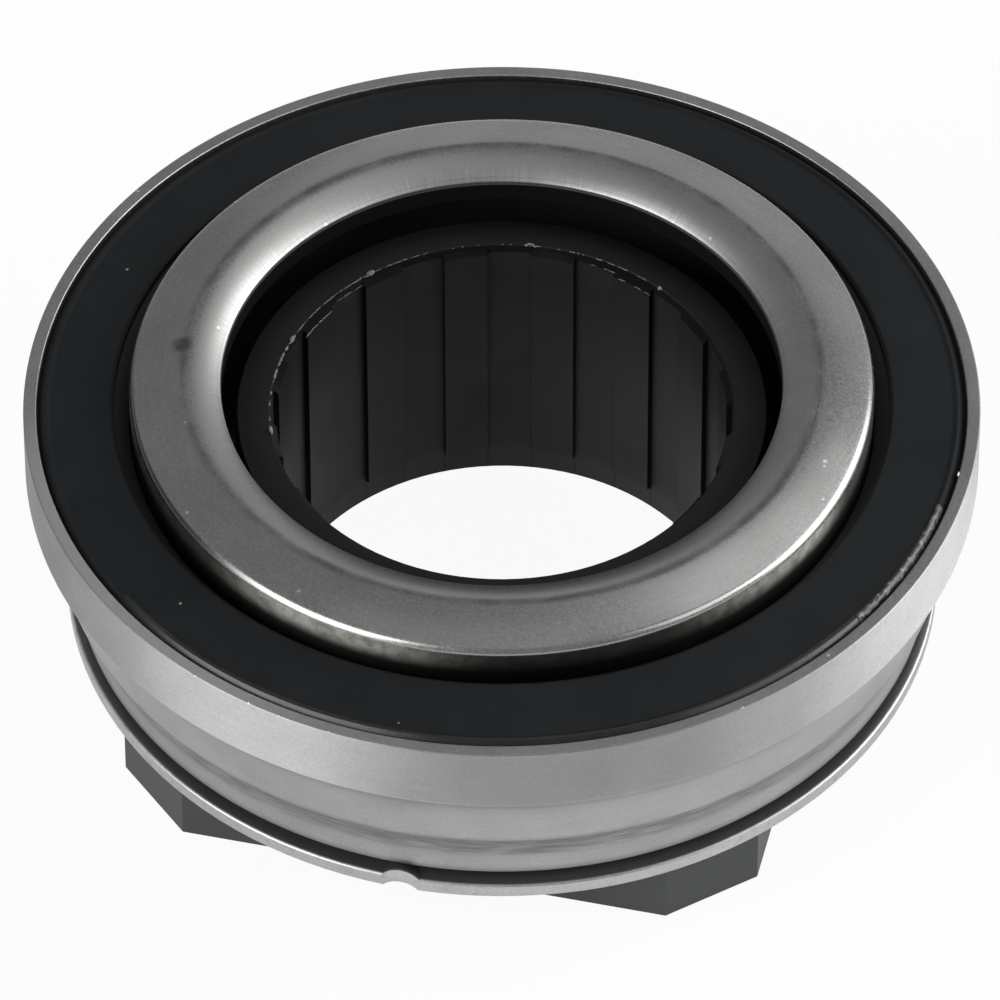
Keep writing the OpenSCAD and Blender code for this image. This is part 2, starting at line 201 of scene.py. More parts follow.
def add_camera():
    """The camera of the photograph, far off with a long lens."""
    offset = from_camera(0, -math.cos(CAMERA_ELEVATION), math.sin(CAMERA_ELEVATION))
    place = Vector((0, 0, RIM * MM)) + CAMERA_DISTANCE * offset
    sideways = math.sin(CAMERA_YAW) * math.cos(CAMERA_PITCH)
    away = math.cos(CAMERA_YAW) * math.cos(CAMERA_PITCH)
    forward = from_camera(sideways, away, -math.sin(CAMERA_PITCH))
    right = forward.cross(Vector((0, 0, 1))).normalized()
    up = right.cross(forward)
    rolled_right = right * math.cos(CAMERA_ROLL) + up * math.sin(CAMERA_ROLL)
    rolled_up = up * math.cos(CAMERA_ROLL) - right * math.sin(CAMERA_ROLL)
    pose = Matrix((rolled_right, rolled_up, -forward)).transposed().to_4x4()
    pose.translation = place
    data = bpy.data.cameras.new("photo_camera")
    data.lens = CAMERA_LENS
    data.sensor_width = CAMERA_SENSOR
    data.clip_start = 0.01
    data.clip_end = 50
    camera = bpy.data.objects.new("photo_camera", data)
    camera.matrix_world = pose
    bpy.context.scene.collection.objects.link(camera)
    bpy.context.scene.camera = camera


# Outlines and turning

def arc(centre, radius, start, end, steps):
    """Points of an arc about a centre, from one angle to another in degrees."""
    points = []
    for step in range(steps + 1):
        angle = math.radians(start + (end - start) * step / steps)
        points.append((centre[0] + radius * math.cos(angle), centre[1] + radius * math.sin(angle)))
    return points


def hollow(foot, head, steps):
    """Points of a hollow that stands upright at its foot and leans outwards to its head."""
    drop = head[0] - foot[0]
    height = head[1] - foot[1]
    radius = (drop * drop + height * height) / (2 * drop)
    lean = math.degrees(math.asin(height / radius))
    return arc((foot[0] + radius, foot[1]), radius, 180, 180 - lean, steps)


def draw_outline(name, points):
    """Merges a small plane to one corner and extrudes that from point to point, by radius and height."""
    bpy.ops.object.select_all(action="DESELECT")
    bpy.ops.mesh.primitive_plane_add(size=MM)
    piece = bpy.context.object
    piece.name = name
    piece.data.name = name
    bpy.ops.object.mode_set(mode="EDIT")
    bpy.ops.mesh.select_all(action="SELECT")
    bpy.ops.mesh.merge(type="CENTER")
    corners = [Vector((radius, 0, height)) * MM for radius, height in points]
    bpy.ops.transform.translate(value=corners[0])
    for before, after in zip(corners, corners[1:]):
        bpy.ops.mesh.extrude_vertices_move(TRANSFORM_OT_translate={"value": after - before})
    return piece


def close_outline():
    """Fills the outline being edited with one face, so that its corners can be bevelled."""
    bpy.ops.mesh.select_all(action="SELECT")
    bpy.ops.mesh.edge_face_add()


def select_corner(piece, corner):
    """Selects the outline's corner nearest to a point."""
    shape = bmesh.from_edit_mesh(piece.data)
    target = Vector((corner[0], 0, corner[1])) * MM
    bpy.ops.mesh.select_all(action="DESELECT")
    nearest = min(shape.verts, key=lambda vert: (vert.co - target).length)
    nearest.select = True
    shape.select_flush_mode()
    bmesh.update_edit_mesh(piece.data)


def round_corner(piece, corner, setback):
    """Rounds one corner of the outline."""
    select_corner(piece, corner)
    bpy.ops.mesh.bevel(offset=setback * MM, segments=CORNER_SEGMENTS, affect="VERTICES")


def apply_modifier(piece):
    """Applies the modifier that was added last."""
    bpy.ops.object.modifier_apply(modifier=piece.modifiers[-1].name)


def turn_outline(piece):
    """Spins the closed outline about the axis into a ring and shades it."""
    bpy.ops.mesh.select_all(action="SELECT")
    bpy.ops.mesh.delete(type="ONLY_FACE")
    bpy.ops.mesh.select_all(action="SELECT")
    bpy.ops.mesh.spin(steps=TURN_STEPS, angle=2 * math.pi, center=(0, 0, 0), axis=(0, 0, 1))
    bpy.ops.mesh.select_all(action="SELECT")
    bpy.ops.mesh.remove_doubles(threshold=MERGE_DISTANCE)
    bpy.ops.mesh.normals_make_consistent(inside=False)
    bpy.ops.object.mode_set(mode="OBJECT")
    bpy.ops.object.shade_smooth_by_angle(angle=SMOOTH_ANGLE)
    bpy.ops.object.modifier_add(type="WEIGHTED_NORMAL")
    piece.modifiers[-1].keep_sharp = True
    apply_modifier(piece)


def turn_ring(name, points, rounded, node, body):
    """A turned ring that stands for a node: outline, rounded corners and a full spin."""
    piece = draw_outline(name, points)
    close_outline()
    for corner, setback in rounded:
        round_corner(piece, corner, setback)
    turn_outline(piece)
    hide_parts(node)
    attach(piece, body)
    return piece


# Shader nodes

def feed(tree, socket, value):
    """Sets a socket to a number or a colour, or links it to another node."""
    if isinstance(value, (int, float)):
        socket.default_value = value
    elif isinstance(value, tuple):
        socket.default_value = (*value, 1)
    else:
        tree.links.new(value, socket)


def add_math(tree, operation, first, second):
    """One sum on two values."""
    node = tree.nodes.new("ShaderNodeMath")
    node.operation = operation
    feed(tree, node.inputs[0], first)
    feed(tree, node.inputs[1], second)
    return node.outputs[0]


def add_vector_math(tree, operation, vector, fixed=(0, 0, 0)):
    """One sum on a vector, and on a fixed one where the sum needs two."""
    node = tree.nodes.new("ShaderNodeVectorMath")
    node.operation = operation
    tree.links.new(vector, node.inputs[0])
    node.inputs[1].default_value = fixed
    return node.outputs


def add_split(tree, vector):
    """The X, Y and Z of a vector."""
    node = tree.nodes.new("ShaderNodeSeparateXYZ")
    tree.links.new(vector, node.inputs[0])
    return node.outputs


def add_noise(tree, place, scale, detail):
    """A noise pattern."""
    noise = tree.nodes.new("ShaderNodeTexNoise")
    noise.inputs["Scale"].default_value = scale
    noise.inputs["Detail"].default_value = detail
    tree.links.new(place, noise.inputs["Vector"])
    return noise.outputs["Fac"]


def add_layer(tree, share, under, over, way="MIX"):
    """One colour laid over another by a share."""
    mix = tree.nodes.new("ShaderNodeMixRGB")
    mix.blend_type = way
    feed(tree, mix.inputs["Fac"], share)
    feed(tree, mix.inputs["Color1"], under)
    feed(tree, mix.inputs["Color2"], over)
    return mix.outputs["Color"]


class Finish:
    """A material as it is built up: its nodes, and the colour and roughness that it has so far."""

    def __init__(self, name):
        self.material = bpy.data.materials.new(name)
        self.material.use_nodes = True
        self.tree = self.material.node_tree
        self.shader = self.tree.nodes["Principled BSDF"]
        self.place = self.tree.nodes.new("ShaderNodeTexCoord").outputs["Object"]
        split = add_split(self.tree, self.place)
        flat = self.tree.nodes.new("ShaderNodeCombineXYZ")
        self.tree.links.new(split["X"], flat.inputs["X"])
        self.tree.links.new(split["Y"], flat.inputs["Y"])
        self.height = split["Z"]
        self.radius = add_vector_math(self.tree, "LENGTH", flat.outputs[0])["Value"]
        self.towards = add_vector_math(self.tree, "NORMALIZE", flat.outputs[0])["Vector"]
        self.colour = None
        self.roughness = None

    def product(self, first, second):
        """Two shares multiplied."""
        return add_math(self.tree, "MULTIPLY", first, second)

    def fade(self, value, low, high):
        """0 at one end of a range and 1 at the other."""
        node = self.tree.nodes.new("ShaderNodeMapRange")
        node.interpolation_type = "SMOOTHSTEP"
        self.tree.links.new(value, node.inputs["Value"])
        node.inputs["From Min"].default_value = low
        node.inputs["From Max"].default_value = high
        return node.outputs["Result"]

    def window(self, value, low, high, blur):
        """1 inside a range and 0 outside it, with blurred ends."""
        start = self.fade(value, low - blur, low + blur)
        end = self.fade(value, high + blur, high - blur)
        return self.product(start, end)

    def zone(self, length, ends):
        """0 where a zone starts and 1 where it is full, by a radius or height."""
        return self.fade(length, ends[0] * MM, ends[1] * MM)

    def band(self, length, ends):
        """1 on a band and 0 off it, by a radius or height."""
        low, high, blur = ends
        return self.window(length, low * MM, high * MM, blur * MM)

    def sector(self, ends):
        """1 in a sector of the circle, with blurred ends."""
        middle, reach, blur = ends
        turned = math.radians(middle)
        direction = (math.cos(turned), math.sin(turned), 0)
        facing = add_vector_math(self.tree, "DOT_PRODUCT", self.towards, direction)["Value"]
        return self.fade(facing, math.cos(math.radians(reach + blur)), math.cos(math.radians(reach - blur)))

    def spot(self, angle, radius, height, size):
        """1 at a point given by angle, radius and height, fading out over a size."""
        turned = math.radians(angle)
        point = (radius * math.cos(turned) * MM, radius * math.sin(turned) * MM, height * MM)
        distance = add_vector_math(self.tree, "DISTANCE", self.place, point)["Value"]
        return self.zone(distance, (size, 0.4 * size))

    def noise(self, scale, detail=3.0):
        """A noise pattern that is the same in all directions."""
        return add_noise(self.tree, self.place, scale, detail)

    def streaks(self, around, across, detail):
        """A noise pattern that follows the turning: one scale along the circle and one across it."""
        along = add_split(self.tree, self.towards)
        depth = add_math(self.tree, "ADD", self.radius, self.height)
        lay = self.tree.nodes.new("ShaderNodeCombineXYZ")
        self.tree.links.new(self.product(along["X"], around), lay.inputs["X"])
        self.tree.links.new(self.product(along["Y"], around), lay.inputs["Y"])
        self.tree.links.new(self.product(depth, across), lay.inputs["Z"])
        return add_noise(self.tree, lay.outputs["Vector"], 1.0, detail)

    def specks(self, scale, size, share):
        """Scattered specks: small cells of a Voronoi pattern, only a share of which show."""
        cells = self.tree.nodes.new("ShaderNodeTexVoronoi")
        cells.inputs["Scale"].default_value = scale
        self.tree.links.new(self.place, cells.inputs["Vector"])
        chosen = self.tree.nodes.new("ShaderNodeSeparateColor")
        self.tree.links.new(cells.outputs["Color"], chosen.inputs["Color"])
        near = self.fade(cells.outputs["Distance"], size, 0.4 * size)
        kept = add_math(self.tree, "LESS_THAN", chosen.outputs["Red"], share)
        return self.product(near, kept)

    def pad_phase(self):
        """0 on the middle of each guide pad, 0.25 on its sides and 0.5 midway to the next pad."""
        along = add_split(self.tree, self.towards)
        angle = add_math(self.tree, "ARCTAN2", along["Y"], along["X"])
        turns = self.product(angle, PAD_COUNT / (2 * math.pi))
        return add_math(self.tree, "PINGPONG", turns, 0.5)

    def tone(self, pattern, low, high):
        """A grey or a colour that goes from one value to another with a pattern."""
        ramp = self.tree.nodes.new("ShaderNodeValToRGB")
        for element, at, value in zip(ramp.color_ramp.elements, TONE_ENDS, (low, high)):
            colour = value if isinstance(value, tuple) else (value, value, value)
            element.position = at
            element.color = (*colour, 1)
        self.tree.links.new(pattern, ramp.inputs["Fac"])
        return ramp.outputs["Color"]

    def cover(self, share, colour):
        """Lays a colour over the colour so far, by a share."""
        self.colour = add_layer(self.tree, share, self.colour, colour)

    def shade(self, pattern, darkest):
        """Darkens the colour so far with a pattern."""
        self.colour = add_layer(self.tree, 1.0, self.colour, self.tone(pattern, darkest, 1.0), "MULTIPLY")

    def bump(self, pattern, strength):
        """Raises a pattern on the surface."""
        bump = self.tree.nodes.new("ShaderNodeBump")
        bump.inputs["Strength"].default_value = strength
        bump.inputs["Distance"].default_value = GRAIN_DEPTH
        self.tree.links.new(pattern, bump.inputs["Height"])
        self.tree.links.new(bump.outputs["Normal"], self.shader.inputs["Normal"])

    def turning(self):
        """Fine lines round an upright wall, which spread light up and down."""
        upright = self.tree.nodes.new("ShaderNodeCombineXYZ")
        upright.inputs["Z"].default_value = 1
        self.tree.links.new(upright.outputs["Vector"], self.shader.inputs["Tangent"])
        self.shader.inputs["Anisotropic"].default_value = 0.85

    def bare(self, covered):
        """Metal except where a share of it is covered."""
        feed(self.tree, self.shader.inputs["Metallic"], add_math(self.tree, "SUBTRACT", 1.0, covered))

    def done(self):
        """Links the colour and the roughness, and gives the material."""
        feed(self.tree, self.shader.inputs["Base Color"], self.colour)
        feed(self.tree, self.shader.inputs["Roughness"], self.roughness)
        return self.material


# Materials

def steel(name, dark, light, rough_low, rough_high):
    """Satin steel: cloudy tone, fine sandy grain and faint turning lines."""
    finish = Finish(name)
    grain = finish.noise(STEEL_GRAIN, 2.0)
    finish.colour = finish.tone(finish.noise(190), dark, light)
    finish.shade(grain, 0.86)
    finish.shade(finish.streaks(9, 9000, 2.0), 0.93)
    finish.roughness = finish.tone(grain, rough_low, rough_high)
    finish.shader.inputs["Metallic"].default_value = 1
    finish.bump(grain, 0.05)
    return finish


def nose_steel():
    """Hardened nose ring: worn crown, streaked inner face and small marks; painted shade on the bow, the lip
    line, one sector of the outer edge and the inside, and a painted dark reflection on the bow's front.
    """
    finish = steel("nose_steel", (0.46, 0.46, 0.45), (0.52, 0.52, 0.51), 0.22, 0.29)
    blotches = finish.fade(finish.streaks(9, 700, 3.0), 0.3, 0.75)
    finish.cover(finish.product(finish.band(finish.radius, CROWN_WEAR), blotches), (0.26, 0.26, 0.255))
    broken = finish.fade(finish.streaks(60, 300, 4.0), 0.42, 0.66)
    finish.cover(finish.product(finish.band(finish.radius, CROWN_LINE), broken), (0.24, 0.24, 0.235))
    bow = finish.zone(finish.radius, NOSE_BOW)
    finish.roughness = add_layer(finish.tree, bow, finish.roughness, (0.41, 0.41, 0.41))
    # Painted shade: the bow's colour is darkened half-way, which tones down its highlight.
    finish.cover(finish.product(bow, 0.5), (0.35, 0.35, 0.343))
    # Painted reflection: a front sector of the bow is darkened as if it mirrored the dark bore.
    bow_dark_reflection = finish.product(bow, finish.sector(BOW_REFLECTION_SECTOR))
    finish.cover(finish.product(bow_dark_reflection, 0.5), (0.1, 0.1, 0.098))
    streaks = finish.fade(finish.streaks(420, 160, 2.0), 0.45, 0.8)
    finish.cover(finish.product(finish.zone(finish.radius, NEAR_LIP), streaks), (0.56, 0.555, 0.54))
    # Painted shade: a thin dark line where the bow turns into the lip's rounding.
    finish.cover(finish.product(finish.band(finish.radius, LIP_SHADE_LINE), 0.5), (0.2, 0.2, 0.198))
    mottle = finish.fade(finish.noise(900, 4.0), 0.25, 0.55)
    finish.cover(finish.product(finish.spot(*NOSE_SMUDGE), mottle), (0.17, 0.17, 0.168))
    finish.cover(finish.specks(310, 0.06, 0.12), (0.2, 0.2, 0.19))
    # Painted shade: the outer edge is darkened over one sector on the left.
    edge_shade = finish.product(finish.zone(finish.radius, NOSE_EDGE), finish.sector(SHADED_EDGE_SECTOR))
    finish.cover(edge_shade, (0.1, 0.1, 0.095))
    nicks = finish.specks(420, 0.08, 0.18)
    for nick in NOSE_NICKS:
        nicks = add_math(finish.tree, "MAXIMUM", nicks, finish.spot(*nick))
    finish.cover(nicks, (0.85, 0.85, 0.84))
    # Painted shade: the inside under the lip is near-black and not metal, and darker deeper down, where
    # shade falls in the gap.
    inside = finish.product(finish.zone(finish.height, NOSE_INSIDE), finish.zone(finish.radius, NOSE_HOLLOW))
    depths = finish.zone(finish.height, NOSE_DEPTHS)
    inside_shade_colour = add_layer(finish.tree, depths, (0.008, 0.0088, 0.008), (0.03, 0.031, 0.03))
    finish.cover(inside, inside_shade_colour)
    finish.shader.inputs["Specular IOR Level"].default_value = 0.05
    finish.bare(inside)
    return finish.done()


def wall_steel():
    """Outer wall of the nose ring: turned round and mottled, with painted shade on stretches of it and down
    in the gap.
    """
    finish = steel("wall_steel", (0.36, 0.355, 0.33), (0.44, 0.435, 0.41), 0.5, 0.58)
    finish.cover(finish.fade(finish.noise(1000, 4.0), 0.38, 0.72), (0.2, 0.193, 0.165))
    # Painted shade: dark spots on the wall where it catches little light.
    for angle, reach, share in WALL_SHADE_SPOTS:
        wall_shade_spot = finish.spot(angle, NOSE_WALL_R, SHADE_SPOT_HEIGHT, reach)
        finish.cover(finish.product(wall_shade_spot, share), (0.03, 0.03, 0.028))
    # Painted shade: the wall goes near-black towards its bottom, down in the gap above the seal.
    finish.cover(finish.zone(finish.height, WALL_GAP_SHADE), (0.016, 0.016, 0.015))
    finish.turning()
    return finish.done()


def drawn_steel():
    """Drawn outer ring below its band: satin, scuffed below the ridge and the band, with painted shade at
    the foot.
    """
    finish = steel("drawn_steel", (0.46, 0.46, 0.455), (0.53, 0.53, 0.525), 0.36, 0.44)
    below_ridge = finish.band(finish.height, BELOW_RIDGE)
    below_band = finish.product(finish.band(finish.height, BELOW_BAND), 0.4)
    below = add_math(finish.tree, "MAXIMUM", below_ridge, below_band)
    scuffs = finish.fade(finish.streaks(12, 2000, 5.0), 0.2, 0.8)
    finish.cover(finish.product(below, scuffs), (0.19, 0.188, 0.182))
    # Painted shade: the foot and underside are darkened where the ring meets the plate.
    finish.cover(finish.product(finish.zone(finish.height, FOOT_SHADE), 0.5), (0.15, 0.148, 0.14))
    return finish.done()


def band_steel():
    """Ground band of the outer ring, whose grinding lines run round it and spread light up and down."""
    finish = steel("band_steel", (0.5, 0.5, 0.502), (0.56, 0.56, 0.562), 0.5, 0.56)
    finish.turning()
    return finish.done()


def rim_steel():
    """Dull turned rim of the outer ring, brighter over one sector, with small bright nicks."""
    finish = steel("rim_steel", (0.36, 0.36, 0.345), (0.44, 0.44, 0.422), 0.46, 0.54)
    # Lightens the rim over one sector on the left.
    finish.cover(finish.product(finish.sector(BRIGHT_RIM_SECTOR), 0.8), (0.6, 0.6, 0.58))
    finish.cover(finish.specks(700, 0.12, 0.2), (0.75, 0.75, 0.73))
    return finish.done()


def plate_steel():
    """Bright pressed sheet, worn unevenly, with a painted shadow on its front face under the outer ring."""
    finish = steel("plate_steel", (0.58, 0.58, 0.58), (0.66, 0.66, 0.66), 0.3, 0.42)
    finish.cover(finish.fade(finish.streaks(40, 1500, 4.0), 0.55, 0.85), (0.36, 0.36, 0.356))
    front_face = finish.zone(finish.height, PLATE_FRONT)
    # Painted shadow: the front face is darkened under the outer ring's foot.
    ring_shadow = finish.product(front_face, finish.zone(finish.radius, RING_SHADOW_ZONE))
    finish.cover(finish.product(ring_shadow, 0.8), (0.1, 0.1, 0.098))
    finish.bare(finish.product(front_face, 0.25))
    return finish.done()


def polymer(name, dark, light, rough_low, rough_high, specular, grain_scale):
    """Plastic or rubber with a cloudy tone and a fine grain."""
    finish = Finish(name)
    cloud = finish.noise(260)
    finish.colour = finish.tone(cloud, dark, light)
    finish.roughness = finish.tone(cloud, rough_low, rough_high)
    finish.shader.inputs["Specular IOR Level"].default_value = specular
    finish.bump(finish.noise(grain_scale, 2.0), 0.3)
    return finish


def seal_rubber():
    """Matte black rubber with a few specks of dust, and painted light that makes the shaded lip greyer."""
    dark = (0.0115, 0.013, 0.0145)
    light = (0.0145, 0.016, 0.0175)
    finish = polymer("seal_rubber", dark, light, 0.5, 0.6, 0.12, RUBBER_GRAIN)
    finish.cover(finish.specks(330, 0.05, 0.16), (0.3, 0.31, 0.31))
    # Painted light: the lip down in the shaded gap is made greyer.
    finish.cover(finish.zone(finish.radius, SEAL_LIP_LIGHT), (0.08, 0.083, 0.082))
    return finish.done()


def scuffed_rubber(name, dark, light, scuffed, rough_low, rough_high, stretch):
    """Black rubber that is glossy and scuffed along a stretch of the circle, and dull elsewhere."""
    finish = polymer(name, dark, light, rough_low, rough_high, 0.65, RUBBER_GRAIN)
    glossy = finish.sector(stretch)
    finish.roughness = add_layer(finish.tree, glossy, (1, 1, 1), finish.roughness)
    scuffs = finish.fade(finish.noise(1800), 0.5, 0.75)
    finish.cover(finish.product(scuffs, glossy), scuffed)
    return finish.done()


def sleeve_polyamide():
    """Black glass-filled plastic with faint brown stains in the bore and dusty grey on the boss; painted
    shade on the front face and the pads' lead and sides, and painted light lower in the bore and on the
    boss.
    """
    dark = (0.0075, 0.0082, 0.0088)
    light = (0.0095, 0.0102, 0.0108)
    finish = polymer("sleeve_polyamide", dark, light, 0.46, 0.46, 0.25, PLASTIC_GRAIN)
    # Painted shade: the front face is darker than the rest of the moulding.
    front = finish.product(finish.zone(finish.height, SLEEVE_FRONT_SHADE), finish.zone(finish.radius, SLEEVE_FACE))
    finish.cover(front, (0.0024, 0.003, 0.0028))
    bore = finish.zone(finish.radius, SLEEVE_BORE)
    # Painted light: the bore gets lighter towards the bottom, where light comes in from below.
    finish.cover(finish.product(bore, finish.zone(finish.height, BORE_LIGHT_DEPTH)), (0.05, 0.0505, 0.051))
    finish.cover(finish.product(bore, finish.zone(finish.height, BORE_REAR_LIGHT)), (0.085, 0.086, 0.09))
    # Painted shade: the pads' lead chamfer is darkened so that it reads no brighter than the bore.
    lead = finish.product(bore, finish.zone(finish.height, LEAD_SHADE_ZONE))
    finish.cover(lead, (0.0022, 0.0024, 0.0025))
    finish.roughness = add_layer(finish.tree, lead, finish.roughness, (1, 1, 1))
    stain = finish.fade(finish.noise(120), 0.5, 0.75)
    finish.cover(finish.product(bore, stain), (0.022, 0.02, 0.015))
    # Painted shade: dark lines along the pads' sides, as in the corners there.
    pad_side_shade = finish.product(finish.window(finish.pad_phase(), *PAD_SIDE_SHADE), bore)
    finish.cover(finish.product(pad_side_shade, 0.8), (0.0015, 0.0015, 0.0018))
    # Dusty grey, and painted light: the boss is made greyer than the rest of the moulding where it is lit.
    boss_dust_and_light = finish.product(finish.zone(finish.height, BOSS), finish.zone(finish.radius, BOSS_OUTSIDE))
    finish.cover(boss_dust_and_light, (0.066, 0.068, 0.068))
    return finish.done()


def plain_steel(name, dark, light, rough_low, rough_high):
    """Satin steel with no marks of its own."""
    return steel(name, dark, light, rough_low, rough_high).done()


def plain_plastic(name, dark, light, rough_low, rough_high, specular):
    """Plastic with no marks of its own."""
    return polymer(name, dark, light, rough_low, rough_high, specular, PLASTIC_GRAIN).done()


def dress(node_name, material):
    """Gives a carried-over node its material."""
    mesh = nodes[node_name].data
    mesh.materials.clear()
    mesh.materials.append(material)


# Turned rings

def nose_outline():
    """Outline of the nose ring: corner, bowed outer face, crown, bowed inner face, lip, back and race."""
    corner_r = NOSE_WALL_R - NOSE_CORNER
    crown_slope = math.radians(CROWN_SLOPE)
    edge_slope = math.radians(EDGE_SLOPE)
    crown_end = (CROWN[0] + CROWN_R * math.sin(crown_slope), CROWN[1] + CROWN_R * math.cos(crown_slope))
    width = corner_r + NOSE_CORNER * math.sin(edge_slope) - crown_end[0]
    face_r = width / (math.sin(edge_slope) - math.sin(crown_slope))
    face = (crown_end[0] - face_r * math.sin(crown_slope), crown_end[1] - face_r * math.cos(crown_slope))
    corner_z = face[1] + (face_r - NOSE_CORNER) * math.cos(edge_slope)
    race = (BALL[0] + RACE_SHIFT[0], BALL[1] - RACE_SHIFT[1])
    race_head = 180 - math.degrees(math.acos((race[0] - NOSE_WALL_R) / RACE_R))
    race_foot = 180 + math.degrees(math.asin((race[1] - NOSE_REAR) / RACE_R))
    points = arc((corner_r, corner_z), NOSE_CORNER, 0, 90 - EDGE_SLOPE, 10)
    points += arc(face, face_r, 90 - EDGE_SLOPE, 90 - CROWN_SLOPE, 14)[1:]
    points += arc(CROWN, CROWN_R, 90 - CROWN_SLOPE, CROWN_END, 8)[1:]
    points += arc(BOW, BOW_R, CROWN_END, BOW_END, 20)[1:]
    points += arc(LIP, LIP_R, BOW_END, 180, 5)[1:]
    points += [(NOSE_BORE_R, 24.976), NOSE_FOLD, (23.405, 25.693), (24.255, 25.499)]
    points += [(NOSE_INNER_R, 24.704), (NOSE_INNER_R, 16.678)]
    points += [(NOSE_REAR_R, 13.395), (NOSE_REAR_R, NOSE_REAR)]
    points += arc(race, RACE_R, race_foot, race_head, 16)
    return points


def shell_outline():
    """Outline of the outer ring: flange, two hollow steps, band, rim, seal seat and ball race."""
    race = (BALL[0] - RACE_SHIFT[0], BALL[1] + RACE_SHIFT[1])
    wall_r = race[0] + RACE_R
    ledge_r = RIM_BORE_R - LEDGE_WIDTH
    points = [(RING_HOLE_R, FOOT[1])]
    points += hollow(FOOT, RIDGE, 10)
    points += hollow(RIDGE, (SHELL_R, BAND_FOOT), 12)[1:]
    points += [(SHELL_R, RIM), (RIM_BORE_R, RIM), (RIM_BORE_R, SEAL_SEAT), (ledge_r, SEAL_SEAT)]
    points += [(ledge_r, BAND_FOOT + LEDGE_RISE), (wall_r, BALL[1] + 1.25 * BALL_R)]
    points += arc(race, RACE_R, *SHELL_RACE, 16)
    points += [(RING_FLOOR_R, RING_FLOOR), (RING_HOLE_R, RING_FLOOR)]
    return points


def seal_outline():
    """Outline of the front seal: seat, bead with a slanting front, raised face, edge and lip."""
    seat_r = RIM_BORE_R - SEAL_PLAY
    points = [(seat_r, SEAL_SEAT), (seat_r, 23.9), (33.88, 23.9), (33.85, 24.02)]
    points += [BEAD_FRONT, BEAD_CREST, BEAD_FOOT, SEAL_EDGE, (28.4, 24.89), (28.4, 24.296)]
    points += [(27.3, 23.097), (27.3, 22.8), (27.6, 22.8), (29.0, 23.79), (32.8, 23.4), (32.8, SEAL_SEAT)]
    return points


def from_axis(point):
    """Distance of a point from the axis in millimetres."""
    return math.hypot(point.x, point.y) / MM


def is_bead(centre):
    """True on the glossy stretch of the front seal's bead."""
    middle, reach, blur = GLOSSY_BEAD
    angle = math.degrees(math.atan2(centre.y, centre.x))
    from_middle = abs((angle - middle + 180) % 360 - 180)
    raised = from_axis(centre) > BEAD_LIMIT[0] and centre.z > BEAD_LIMIT[1] * MM
    return raised and from_middle < reach + blur


def is_wall(centre):
    """True on the nose ring's upright outer wall."""
    return from_axis(centre) > NOSE_WALL_R - 0.02


def is_rim(centre):
    """True on the rim's flat front."""
    return centre.z > (RIM - 0.02) * MM


def is_band(centre):
    """True on the band and its lower edge."""
    return from_axis(centre) > SHELL_R - 0.2 and centre.z > (BAND_FOOT - 0.1) * MM


def finish_faces(piece, material, belongs):
    """Gives the faces that belong to a zone their own material."""
    bpy.ops.object.select_all(action="DESELECT")
    piece.select_set(True)
    bpy.context.view_layer.objects.active = piece
    piece.data.materials.append(material)
    piece.active_material_index = len(piece.data.materials) - 1
    bpy.ops.object.mode_set(mode="EDIT")
    bpy.ops.mesh.select_mode(type="FACE")
    bpy.ops.mesh.select_all(action="DESELECT")
    shape = bmesh.from_edit_mesh(piece.data)
    for face in shape.faces:
        face.select = belongs(face.calc_center_median())
    bmesh.update_edit_mesh(piece.data)
    bpy.ops.object.material_slot_assign()
    bpy.ops.mesh.select_mode(type="VERT")
    bpy.ops.object.mode_set(mode="OBJECT")


def add_nose():
    """The nose ring, with its wall's own finish."""
    rounded = [(NOSE_FOLD, 0.2)]
    nose = turn_ring("nose_ring", nose_outline(), rounded, "inner_ring", "nose")
    nose.data.materials.append(nose_steel())
    finish_faces(nose, wall_steel(), is_wall)


def add_shell():
    """The outer ring, with finishes of their own on its band and rim."""
    rounded = [((SHELL_R, RIM), 0.12), ((RIM_BORE_R, RIM), 0.12), ((SHELL_R, BAND_FOOT), 0.16)]
    rounded += [(RIDGE, 0.3), (FOOT, 0.2)]
    shell = turn_ring("shell_ring", shell_outline(), rounded, "outer_ring", "bearing_shell")
    shell.data.materials.append(drawn_steel())
    finish_faces(shell, band_steel(), is_band)
    finish_faces(shell, rim_steel(), is_rim)


def add_seal(rubber):
    """The front seal, with a glossy stretch on its bead."""
    rounded = [(SEAL_EDGE, 0.1), (BEAD_FRONT, 0.06), (BEAD_CREST, 0.06), (BEAD_FOOT, 0.08)]
    seal = turn_ring("seal_ring", seal_outline(), rounded, "front_seal", "bearing_shell")
    seal.data.materials.append(rubber)
    dark = (0.007, 0.008, 0.008)
    light = (0.011, 0.012, 0.012)
    scuffed = (0.014, 0.014, 0.014)
    bead_rubber = scuffed_rubber("bead_rubber", dark, light, scuffed, 0.22, 0.32, GLOSSY_BEAD)
    finish_faces(seal, bead_rubber, is_bead)


# Small pieces

def model_fleck(name):
    """One torn fleck: a rough little lump, flattened and stretched."""
    bpy.ops.object.select_all(action="DESELECT")
    bpy.ops.mesh.primitive_ico_sphere_add(subdivisions=2, radius=MM)
    fleck = bpy.context.object
    fleck.name = name
    fleck.data.name = name
    bpy.ops.object.mode_set(mode="EDIT")
    bpy.ops.mesh.select_all(action="SELECT")
    bpy.ops.transform.vertex_random(offset=0.35 * MM, seed=4)
    bpy.ops.transform.resize(value=FLECK_SIZE)
    bpy.ops.object.mode_set(mode="OBJECT")
    bpy.ops.object.shade_flat()
    return fleck


